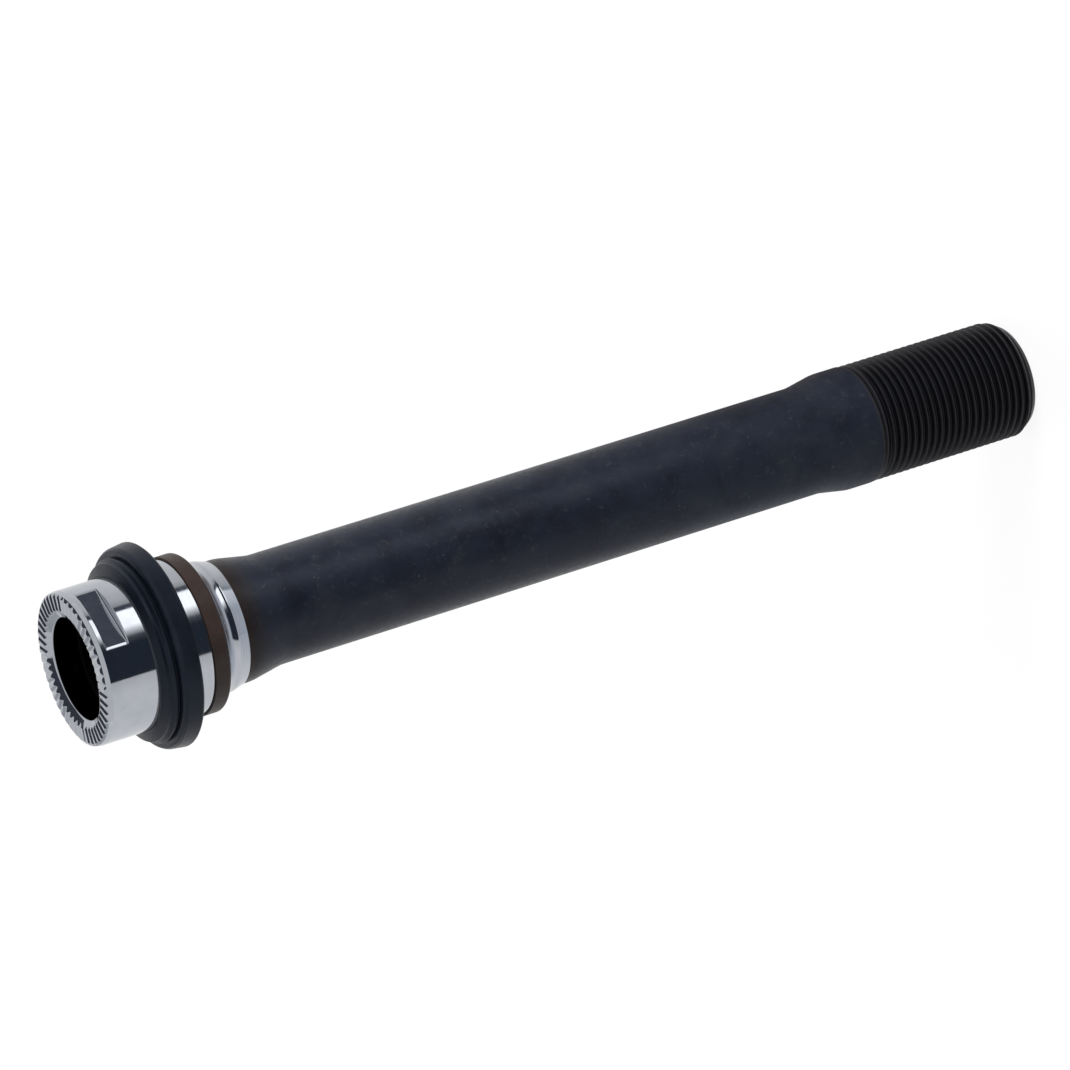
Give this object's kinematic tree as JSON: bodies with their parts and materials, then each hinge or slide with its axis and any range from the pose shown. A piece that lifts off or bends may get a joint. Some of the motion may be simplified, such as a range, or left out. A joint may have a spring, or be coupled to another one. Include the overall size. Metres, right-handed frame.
{
  "type": "hollow hub axle",
  "caption": "Hollow bicycle hub axle: slim black steel tube with a threaded end, bearing cone, brown seal ring, flared rubber dust seal and a chromed serrated end nut with wrench flats.",
  "frame": {"origin": "centre of the threaded end face, on the axis of the axle, where the standing part meets the floor", "axes": "+Z along the axis of the axle towards the serrated end nut; the wrench flats face -Y and +Y"},
  "size_m": [0.0254, 0.0254, 0.1319],
  "materials": {
    "black_steel": "satin",
    "polished_steel": "polished",
    "brown_ring": "satin",
    "black_rubber": "matte",
    "chrome": "polished"
  },
  "bodies": {
    "root": {"axle_tube": "black_steel", "bearing_cone": "polished_steel", "seal_ring": "brown_ring", "dust_seal": "black_rubber", "end_nut": "chrome"}
  },
  "joints": []
}
